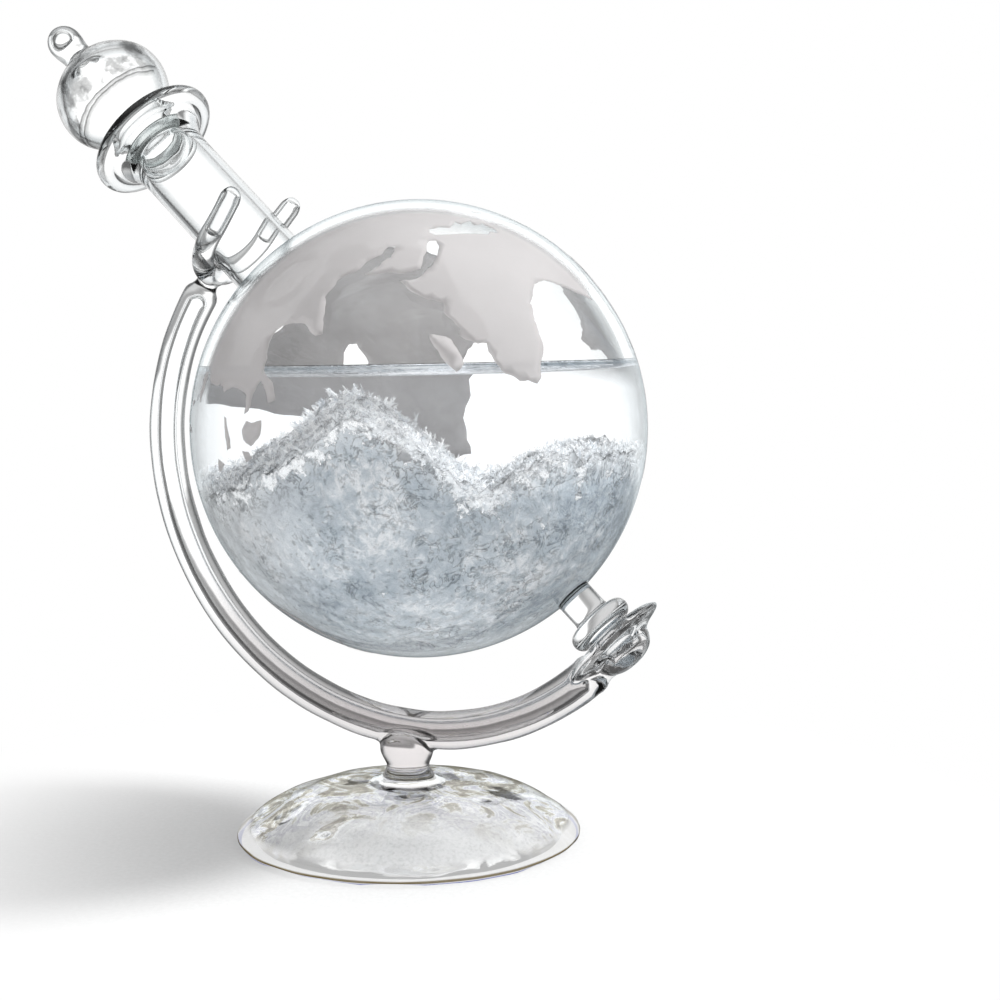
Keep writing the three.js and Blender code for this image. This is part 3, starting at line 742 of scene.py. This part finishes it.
# ---- the frosted map -------------------------------------------------------------------------------
# Outlines are (latitude, longitude) in degrees round the globe's axis: the neck is at +90, longitude 0
# faces -Y and grows towards +X. East and west are swapped, as they are on the object.
OLD_WORLD = [
    (75, 66), (76, 45), (76, 20), (76, -5), (74, -30), (70, -55), (66, -72), (60, -74), (55, -66), (60, -58),
    (56, -47), (50, -42), (43, -38), (37, -34), (36, -29), (33, -25), (36, -19), (31, -15), (26, -12), (24, -8),
    (19, -7), (16.5, -9.5), (16, -7.5), (18, -4), (18.5, 0), (13, -2), (12, 0), (15.5, 2), (20, 2), (23.5, 6),
    (25.5, 10.5), (24, 14), (20.5, 17), (18, 16.7), (16, 17), (15, 18.5), (18, 21), (22.5, 25), (24, 30),
    (23.4, 33), (22.5, 36), (23, 40), (22.3, 43), (23.3, 46), (22, 47.2), (21, 45), (20.9, 42), (20.7, 39),
    (20.3, 35.5), (18, 38), (15.3, 41), (13.2, 44), (12.4, 46.2), (15.4, 50.6), (18.2, 54.6), (17.3, 56),
    (14.2, 53.4), (12.6, 51), (11.4, 47.2), (10.8, 45), (12, 42), (13, 40), (9, 40), (5, 41.3), (2, 43.7),
    (0, 42), (-2.5, 42.3), (-5.2, 42.4), (-6, 41), (-8, 41.5), (-10.3, 43.2), (-11.3, 45), (-13, 44),
    (-15.3, 43.8), (-19, 44), (-22.3, 46.2), (-25, 50), (-24.3, 52.2), (-21, 55), (-17, 58.6), (-13, 60),
    (-9, 62), (-6.6, 65), (-5, 67), (-5, 71), (-7, 74), (-9, 77.3), (-11, 81), (-13, 85), (-10, 91), (-2, 97),
    (8, 96), (17, 92), (22, 86), (21, 81), (25, 76), (29, 80), (33, 88), (38, 90), (41, 84), (46, 87),
    (52, 82), (58, 76), (63, 82), (70, 78),
]
BLACK_SEA = [
    (21.8, 58), (19.3, 58.2), (17.4, 62), (16, 66), (14, 70), (13.2, 74), (15, 73), (16.8, 73), (17, 70),
    (19, 71), (18.8, 67), (20.7, 67), (19.3, 63), (21, 61),
]
NEW_WORLD = [
    (64, -99), (70, -110), (70, -126), (72, -140), (75, -157), (75, -174), (76, 175), (75, 158), (72, 140),
    (66, 132), (58, 133), (50, 134), (43, 138), (38, 146), (34, 152), (30, 158), (24, 158), (18, 163),
    (21, 168), (20.5, 174), (18, -178), (16, -171), (14, -169.3), (12.4, -166), (9.5, -164), (7.5, -163),
    (10, -159), (13, -155), (16, -152), (19, -152.5), (22, -153.5), (25, -151), (29, -146), (32.5, -142),
    (38, -137), (46, -130), (54, -124), (60, -116), (58, -106), (60, -101),
]
NEW_WORLD_BAY = [
    (46, -154.5), (48.5, -157.5), (49.6, -162), (48, -164.5), (44.5, -163.5), (41, -162.5), (39, -159.5),
    (42, -155.5),
]
SOUTHERN_LAND = [
    (12, 118), (9, 108), (2, 101), (-6, 97.5), (-14, 100), (-24, 104), (-35, 112), (-46, 118), (-55, 122),
    (-53, 128), (-40, 127), (-30, 129), (-20, 132), (-14, 132), (-12.5, 134), (-10, 138), (-5.5, 138.5),
    (-3, 133), (0.5, 128.5), (5, 126),
]
ISLANDS = [
    [(-2, 36), (-3.5, 37.3), (-6, 39), (-8.4, 38.6), (-12, 37.5), (-12.5, 35), (-9, 34.4), (-6, 35)],
    [(15, -13.5), (14.6, -9.5), (11.5, -6), (9.4, -8.5), (9.6, -12.6), (12, -14.2)],
    [(22, -16), (20.5, -15), (17.5, -16.6), (14.2, -18.6), (14.8, -20.6), (18.6, -18.6)],
    [(11.6, -16), (9.4, -14.2), (7.6, -14.4), (8.8, -17.4)],
    [(16.2, -25), (13.4, -23.6), (13.6, -27.4), (16, -28)],
    [(-9, -60), (-14, -56), (-22, -55), (-30, -60), (-33, -70), (-37, -80), (-36, -89), (-28, -96), (-19, -91),
     (-11, -87), (-16, -84), (-14, -79), (-11, -76), (-13, -69)],
    [(76, 132), (70, 117), (64, 126), (60, 138), (68, 148), (75, 150)],
    [(45, -50), (41, -46), (35, -40), (32, -38), (34, -45), (38, -49), (43, -54)],
    [(-38, -112), (-42, -116), (-49, -108), (-45, -110)],
    [(2, -62), (3, -70), (-2, -77), (-6, -80), (-4, -71)],
    [(56, 93), (51, 90), (50, 97), (56, 100)],
    [(65, 107), (63, 113), (66, 116), (66.5, 109)],
]
FROST_GAP = 0.04  # over the glass
FROST_DEPTH = 0.07
FROST_CELL = 2.0  # degrees between the points inside an outline
FROST_GRAIN = 0.12
OUTER_FROST = (0.47, 0.455, 0.455)
# painted shade: a darker copy of the frost's tone, for its faces that are seen from inside the globe
SHADED_INNER_FROST = (0.26, 0.25, 0.25)


def unit(latitude, longitude):
    a, b = math.radians(latitude), math.radians(longitude)
    return np.array((math.cos(a) * math.sin(b), -math.cos(a) * math.cos(b), math.sin(a)))


def rough_coast(points, rng):
    """Breaks an outline's long sides into short uneven ones."""
    for _ in range(3):
        out = []
        for a, b in zip(points, points[1:] + points[:1]):
            out.append(a)
            gap = np.linalg.norm(b - a)
            if gap > 1.8:
                out.append((a + b) / 2 + 0.22 * (rng.random() - 0.5) * np.array((b[1] - a[1], a[0] - b[0])))
        points = out
    return points


def inside(outline, points):
    """Which of the points are inside a closed outline."""
    x, y = points[:, 0], points[:, 1]
    hit = np.zeros(len(points), bool)
    for (ax, ay), (bx, by) in zip(outline, outline[1:] + outline[:1]):
        spans = (ay > y) != (by > y)
        if ay != by:
            hit ^= spans & (x < (bx - ax) * (y - ay) / (by - ay) + ax)
    return hit


def land(outline, hole, rng, verts, faces, kinds):
    """Adds one frosted area, a thin shell over the glass, to verts and faces."""
    units = [unit(*p) for p in outline]
    middle = sum(units)
    middle /= np.linalg.norm(middle)
    east = np.cross((0.3, 0.2, 1), middle)
    east /= np.linalg.norm(east)
    north = np.cross(middle, east)

    def flat(u):
        side = np.array((u @ east, u @ north))
        return side / max(np.linalg.norm(side), 1e-9) * math.degrees(math.acos(max(-1, min(1, u @ middle))))

    def round_again(q):
        angle = math.radians(np.linalg.norm(q))
        side = (q[0] * east + q[1] * north) / max(np.linalg.norm(q), 1e-9)
        return math.cos(angle) * middle + math.sin(angle) * side

    rings = [rough_coast([flat(u) for u in units], rng)]
    if hole:
        rings.append(rough_coast([flat(unit(*p)) for p in hole], rng))
    coast = np.array([p for ring in rings for p in ring])
    low, high = coast.min(0), coast.max(0)
    rows = np.arange(low[1], high[1], FROST_CELL * 0.87)
    grid = np.array([(x + FROST_CELL / 2 * (i % 2), y) for i, y in enumerate(rows)
                     for x in np.arange(low[0], high[0], FROST_CELL)])
    keep = inside(rings[0], grid)
    if hole:
        keep &= ~inside(rings[1], grid)
    grid = grid[keep]
    tree = KDTree(len(coast))
    for i, p in enumerate(coast):
        tree.insert((*p, 0), i)
    tree.balance()
    grid = np.array([p for p in grid if tree.find((*p, 0))[2] > 0.9]).reshape(-1, 2)
    edges, first = [], 0
    for ring in rings:
        edges += [(first + i, first + (i + 1) % len(ring)) for i in range(len(ring))]
        first += len(ring)
    points = [Vector(p) for p in coast] + [Vector(p) for p in grid]
    flat_points, _, cells, *_ = geometry.delaunay_2d_cdt(points, edges, [], 0, 1e-5)
    centres = np.array([sum((np.array(flat_points[i]) for i in c), np.zeros(2)) / 3 for c in cells])
    keep = inside(rings[0], centres)
    if hole:
        keep &= ~inside(rings[1], centres)
    cells = [c for c, k in zip(cells, keep) if k]
    used = sorted({i for c in cells for i in c})
    number = {v: i for i, v in enumerate(used)}
    cells = [[number[i] for i in c] for c in cells]
    bottom, count = len(verts), len(used)
    ups = [round_again(np.array(flat_points[i])) for i in used]
    verts += [tuple(u * (GLOBE_RADIUS + FROST_GAP)) for u in ups]
    verts += [tuple(u * (GLOBE_RADIUS + FROST_GAP + FROST_DEPTH)) for u in ups]
    sides = {(c[i], c[(i + 1) % 3]) for c in cells for i in range(3)}
    for c in cells:
        faces.append([bottom + count + i for i in c])
        faces.append([bottom + i for i in c[::-1]])
        kinds += [0, 1]
    for a, b in sides:
        if (b, a) not in sides:
            faces.append((bottom + a, bottom + b, bottom + count + b, bottom + count + a))
            kinds.append(0)


def frost_material(name, tone, mottled, clear):
    """Sand-blasted glass: scatters light both ways, mottled where the liquid has wetted the far wall. clear
    is the share of light that passes straight through."""
    mat, n = material(name)
    grain = n.noise(1500.0)
    value = n.math("MULTIPLY", n.noise(45.0, 4.0, 0.55), 1 - FROST_GRAIN)
    value = n.math("ADD", value, n.math("MULTIPLY", grain, FROST_GRAIN))
    dark = tuple(c * (1 - mottled) for c in tone)
    light = tuple(min(1.0, c * (1 + mottled)) for c in tone)
    colour = n.ramp(value, (0.35, dark), (0.65, light))
    # painted shade: the frost darkens where it is seen at a slant
    colour = n.times(colour, n.ramp(n.facing(0.35), (0.3, 1.0), (1.0, 0.72)))
    bump = n.bump(grain, 0.02, 0.3)
    near = n("BsdfDiffuse", {"Color": colour, "Normal": bump}).outputs[0]
    through = n("BsdfTranslucent", {"Color": colour, "Normal": bump}).outputs[0]
    open_air = n.see_through()
    clearing = n.ramp(n.facing(), (0.64, clear), (0.74, 1.0))
    frost = n.blend(clearing, n.blend(0.5, near, through), open_air)
    n.surface(n.blend(n("NewGeometry").outputs["Backfacing"], frost, open_air))
    return mat


def build_map():
    rng = np.random.default_rng(SEED)
    verts, faces, kinds = [], [], []
    lands = [(OLD_WORLD, BLACK_SEA), (NEW_WORLD, NEW_WORLD_BAY), (SOUTHERN_LAND, None)]
    for outline, hole in lands + [(island, None) for island in ISLANDS]:
        land(outline, hole, rng, verts, faces, kinds)
    frost = make("frosted_map", verts, faces, AXIS_FRAME)
    finish_piece(frost, "globe", frost_material("frost_outside", OUTER_FROST, 0.03, 0.06), "clear_glass")
    # the faces seen from inside the globe get the painted-shade copy of the frost
    frost.data.materials.append(frost_material("frost_inside_shaded", SHADED_INNER_FROST, 0.16, 0.04))
    frost.data.polygons.foreach_set("material_index", kinds)


# ---- the stopper -----------------------------------------------------------------------------------
BULB_SEAM = 109.0  # along the axis


def stopper_outside():
    plug = [(0, 88.4), (2.2, 88.5), (4.4, 89.2), (6.0, 90.5), (6.7, 92.0), (6.75, 93.4), (6.45, 94.4)]
    waist = [(6.4, 96), (6.4, 98), (6.5, 99.6), (6.9, 100.8), (7.6, 102.1), (8.8, 103.7)]
    bulb = arc(0, 113.7, 14, 12.2, -46, 62, 40)
    crown = [(5.3, 125.3), (4.3, 126.2), (3.9, 127.4), (3.72, 128.8), (3.85, 130.4), (4.1, 132.0)]
    top = arc(0, 133.6, 4.2, 4.6, 0, 84, 12) + [(0, 138.2)]
    return turned(smoothed(plug + waist, 3) + bulb + smoothed(crown, 3) + top, 120)


def stopper_inside():
    plug = [(0, 89.2), (2.4, 89.4), (4.6, 90.4), (5.8, 91.9), (6.0, 93.4), (5.6, 96), (5.6, 99.4),
            (6.1, 101.6)]
    root = [(3.6, 124.6), (2.5, 125.5), (1.9, 126.6), (1.4, 127.8), (0, 128.4)]
    bulb = arc(0, 113.7, 12.6, 10.9, -54, 68, 40) + smoothed(root, 3)
    return turned(smoothed(plug, 3) + bulb, 96)


def finial_bubble():
    return turned([(0, 132.0)] + arc(0, 134.2, 1.9, 2.2, -80, 80, 14) + [(0, 136.4)], 40)


def build_stopper(glass):
    stopper = make("stopper_glass", *stopper_outside(), AXIS_FRAME)
    ripple(stopper, 0.12, 8, 7.7)
    cavity = make("cavity", *stopper_inside(), AXIS_FRAME, inside_out=True)
    ripple(cavity, 0.3, 10, 1.3)
    absorb(stopper, cavity)
    absorb(stopper, make("bubble", *finial_bubble(), AXIS_FRAME, inside_out=True))
    finish_piece(stopper, "stopper", glass, "clear_glass", "stopper_plug", "stopper_bulb", "stopper_finial")


def build_seal():
    section = [(6.55, 94.0), (7.1, 93.95), (7.5, 94.8), (8.0, 95.9), (8.4, 96.7), (8.35, 97.1),
               (8.0, 97.25), (6.55, 97.2)]
    seal = make("seal_sleeve", *turned(section, 96, closed=True), AXIS_FRAME)
    finish_piece(seal, "seal", seal_material(), "clear_seal", "stopper_seal")


# ---- the contents ----------------------------------------------------------------------------------
LIQUID_OVERLAP = 0.12  # into the glass, so that no air film shows between them
MENISCUS = 2.75
MENISCUS_WIDTH = 1.5
CRYSTAL_RADIUS = 46.95
LOOSE_DEPTH = 9.0  # under the bed's surface, over which the crystals grow denser
NEEDLES = 4200
SIDE_BLADES = 3
NEEDLE_SPREAD = 46.5


def build_liquid():
    radius = INNER_RADIUS + LIQUID_OVERLAP
    rise = LEVEL + MENISCUS
    edge = math.sqrt(radius**2 - rise**2)
    steps = (0.3, 0.7, 1.2, 1.8, 2.6, 3.6, 5, 7)
    top = [(edge - d, LEVEL + MENISCUS * math.exp(-d / MENISCUS_WIDTH)) for d in steps]
    profile = [(0, -radius)] + arc(0, 0, radius, radius, -89, math.degrees(math.asin(rise / radius)), 120)
    profile += top + [(edge - s, LEVEL) for s in (10, 14, 22, 32)] + [(0, LEVEL)]
    liquid = make("liquid_fill", *turned(profile, 160), LEVEL_FRAME)
    finish_piece(liquid, "contents", liquid_material(), "liquid", "storm_liquid")


# The bed's crest line, (across, height): across is towards the right as seen from the front.
BED_CREST = [(-48, -13), (-39, -11), (-30, -7), (-20, -1), (-11, 6.5), (-4, 2.5), (3, -3.5), (9, -8.5),
             (13, -9), (19, -4.8), (28, -2.8), (34, -5), (48, -4)]


def crest(across):
    """The crest's height, rounded off between its points."""
    spots, heights = zip(*BED_CREST)
    samples = [np.interp(across + d, spots, heights) for d in (-3, -1.5, 0, 1.5, 3)]
    return sum(samples) / len(samples)


def bed_height(x, y):
    across = x * math.cos(VIEW_YAW) + y * math.sin(VIEW_YAW)
    nearer = x * math.sin(VIEW_YAW) - y * math.cos(VIEW_YAW)
    bend = 3.0 * noise.noise(Vector((x / 18, y / 18, SEED)))
    settled = -0.0018 * (nearer - 12) ** 2
    rough = noise.fractal(Vector((x / 4, y / 4, SEED)), 0.7, 2.1, 5)
    ridge = noise.ridged_multi_fractal(Vector((x / 5, y / 5, 3)), 0.9, 2.0, 5, 1.0, 2.0)
    return crest(across + bend) + settled + 1.6 * rough + 1.1 * (ridge - 1.2)


def build_crystals():
    turn, rise = 300, 200
    profile = arc(0, 0, CRYSTAL_RADIUS, CRYSTAL_RADIUS, -90, 90, rise)
    profile[0], profile[-1] = (0, -CRYSTAL_RADIUS), (0, CRYSTAL_RADIUS)
    verts, faces = turned(profile, turn)
    moved, loose = [], []
    for x, y, z in verts:
        inwards = 0.3 * noise.fractal(Vector((x, y, z)) / 2.6, 0.7, 2.0, 4) + 0.3
        p = Vector((x, y, z)) * (1 - max(0.0, inwards) / CRYSTAL_RADIUS)
        top = bed_height(p.x, p.y)
        moved.append((p.x, p.y, min(p.z, top)))
        loose.append(max(0.0, 1 - max(0.0, top - p.z) / LOOSE_DEPTH))
    bed = make("crystal_bed_mass", moved, faces, LEVEL_FRAME)
    bed.data.attributes.new("loose", "FLOAT", "POINT").data.foreach_set("value", loose)
    finish_piece(bed, "contents", crystal_material(), "crystals", "crystal_bed")


def needle(start, along, length, width, verts, faces):
    """A slender pointed blade."""
    along = along.normalized()
    side = along.orthogonal().normalized()
    other = along.cross(side)
    first = len(verts)
    middle = start + along * length * 0.4
    ring = [side * width, other * width * 0.45, side * -width, other * width * -0.45]
    verts += [tuple(start)] + [tuple(middle + r) for r in ring] + [tuple(start + along * length)]
    for i in range(4):
        j = (i + 1) % 4
        faces.append((first, first + 1 + j, first + 1 + i))
        faces.append((first + 1 + i, first + 1 + j, first + 5))


def build_needles():
    """Feathery growth on the bed's surface: short blades with side blades."""
    rng = np.random.default_rng(SEED)
    verts, faces = [], []

    def fits(p):
        return p.length < INNER_RADIUS - 0.8 and p.z < LEVEL - 1.5

    for _ in range(NEEDLES):
        r, t = NEEDLE_SPREAD * math.sqrt(rng.random()), 2 * math.pi * rng.random()
        x, y = r * math.cos(t), r * math.sin(t)
        base = Vector((x, y, bed_height(x, y) - 0.5))
        lean = Vector((rng.normal(0, 1.1), rng.normal(0, 1.1), 1)).normalized()
        length = 0.7 + 1.6 * rng.random() ** 3 + 0.6 * rng.random()
        if not fits(base + lean * length):
            continue
        needle(base, lean, length, 0.18 + 0.25 * rng.random(), verts, faces)
        for _ in range(SIDE_BLADES):
            share = 0.25 + 0.6 * rng.random()
            out = (lean + 0.8 * Vector(rng.normal(0, 1, 3))).normalized()
            size = length * (1 - share) * 0.8 + 0.3
            if fits(base + lean * length * share + out * size):
                needle(base + lean * length * share, out, size, 0.16, verts, faces)
    needles = make("crystal_needles", verts, faces, LEVEL_FRAME)
    needles.data.shade_flat()
    finish_piece(needles, "contents", needle_material(), "crystals")


# ---- the stage -------------------------------------------------------------------------------------
GLASS_BOUNCES = 28
FLOOR_FADE = (0.05, 0.14)  # metres from the foot's centre
ROOM_STRENGTH = (1.3, 1.3, 1.3, 1)
SKY_STRENGTH = (1.15, 1.15, 1.15, 1)
CAMERA_LENS = 56.86
CAMERA_SHIFT = (0.0826, -0.134)
CAMERA_AWAY, CAMERA_ABOVE = 0.3484, 0.01347  # metres from the globe's centre
CAMERA_ROLL = math.radians(-1.07)


def build_floor():
    """A pale floor that runs out into the bright background. Light that the glass bends sees it only close
    to the foot."""
    corners = [(-1500, -1500, 0), (1500, -1500, 0), (1500, 1500, 0), (-1500, 1500, 0)]
    floor = make("floor", corners, [(0, 1, 2, 3)], Matrix.Identity(4))
    mat, n = material("floor_pale")
    colour = n.ramp(n.noise(900.0, 4.0, 0.7), (0.3, 0.44), (0.7, 0.48))
    pale = n("BsdfDiffuse", {"Color": colour}).outputs[0]
    bright = n("Emission", {"Color": WHITE, "Strength": 1.0}).outputs[0]
    far = n.distance(n("NewGeometry").outputs["Position"], FOOT_CENTRE)
    fade = n.smooth_step(far, *FLOOR_FADE)
    path = n("LightPath").outputs
    bent = n.math("MAXIMUM", path["Is Transmission Ray"], path["Is Glossy Ray"])
    bent = n.math("MULTIPLY", bent, n.math("GREATER_THAN", far, (FOOT_RADIUS + 1) * MM))
    n.surface(n.blend(bent, n.blend(fade, pale, bright), n.see_through()))
    floor.data.materials.append(mat)


def build_world():
    """A bright field behind the object and a darker room at the sides, which draws the glass's edges."""
    world = bpy.data.worlds.new("studio")
    bpy.context.scene.world = world
    world.use_nodes = True
    n = Nodes(world.node_tree)
    ahead = n("VectorMath", {0: n("TexCoord").outputs["Camera"]}, operation="NORMALIZE").outputs[0]
    share = n.math("MULTIPLY_ADD", n.height(ahead), 0.5, 0.5)
    room = n.ramp(share, (0.0, 0.8), (0.24, 0.45), (0.4, 0.2), (0.68, 0.18), (0.8, 0.25), (0.88, 1.0))
    room = n.times(room, ROOM_STRENGTH)
    up = n.math("MULTIPLY_ADD", n.height(n("TexCoord").outputs["Generated"]), 0.5, 0.5)
    room = n.times(room, n.ramp(up, (0.0, 0.6), (0.3, 0.5), (0.37, 0.28), (0.40, 0.33), (0.43, 1.0)))
    panel = n.ramp(up, (0.78, 0.0), (0.9, 0.9))
    room = n("MixRGB", {0: 1.0, 1: room, 2: panel}, blend_type="LIGHTEN").outputs[0]
    soft = n.times(n.ramp(up, (0.0, 0.7), (0.5, 0.85), (1.0, 1.0)), SKY_STRENGTH)
    path = n("LightPath").outputs
    colour = n.mix(path["Is Camera Ray"], n.mix(path["Is Diffuse Ray"], room, soft), WHITE)
    n("OutputWorld", {0: n("Background", {0: colour, 1: 1.0}).outputs[0]})


def build_lamps():
    """Soft boxes: one low on the right, whose shadow falls to the left, and one overhead."""
    def lamp(name, size, energy, position):
        data = bpy.data.lights.new(name, "AREA")
        data.shape = "DISK"
        data.size = size
        data.energy = energy
        obj = bpy.data.objects.new(name, data)
        bpy.context.scene.collection.objects.link(obj)
        obj.location = position
        aim = CENTRE - Vector(position)
        obj.rotation_euler = aim.to_track_quat("-Z", "Y").to_euler()
        obj.visible_glossy = False
        obj.visible_transmission = False

    lamp("key", 0.22, 17.0, (0.70, 0.31, 0.72))
    lamp("overhead", 1.0, 4.5, (0.0, 0.0, 1.0))


def build_camera():
    data = bpy.data.cameras.new("camera")
    data.lens = CAMERA_LENS
    data.sensor_width = 36
    data.shift_x, data.shift_y = CAMERA_SHIFT
    data.clip_start = 0.01
    camera = bpy.data.objects.new("camera", data)
    bpy.context.scene.collection.objects.link(camera)
    offset = Vector((math.sin(VIEW_YAW) * CAMERA_AWAY, -math.cos(VIEW_YAW) * CAMERA_AWAY, CAMERA_ABOVE))
    turn = Matrix.Rotation(VIEW_YAW, 4, "Z") @ Matrix.Rotation(math.pi / 2, 4, "X")
    turn = turn @ Matrix.Rotation(CAMERA_ROLL, 4, "Z")
    camera.matrix_world = Matrix.Translation(CENTRE + offset) @ turn
    bpy.context.scene.camera = camera


def set_light_paths():
    """Enough bounces to see through several walls of glass."""
    scene = bpy.context.scene
    scene.view_settings.view_transform = "Standard"
    scene.cycles.max_bounces = GLASS_BOUNCES
    scene.cycles.transmission_bounces = GLASS_BOUNCES
    scene.cycles.transparent_max_bounces = GLASS_BOUNCES
    scene.cycles.glossy_bounces = 6
    scene.cycles.diffuse_bounces = 3
    scene.cycles.caustics_reflective = False
    scene.cycles.caustics_refractive = False


build_stand(glass_material("stand_glass", 0.06, 150.0, rods_of_stand, (0.50, 0.36), shade_tint=stand_shade_and_grain,
                           band=foot_rim_light))
build_globe(glass_material("globe_glass", 0.02, 40.0, outside_globe, (0.70, 0.60)))
build_map()
build_stopper(glass_material("stopper_glass", 0.06, 150.0, above_plug, (0.54, 0.42), seam=BULB_SEAM))
build_seal()
build_liquid()
build_crystals()
build_needles()
build_floor()
build_world()
build_lamps()
build_camera()
set_light_paths()
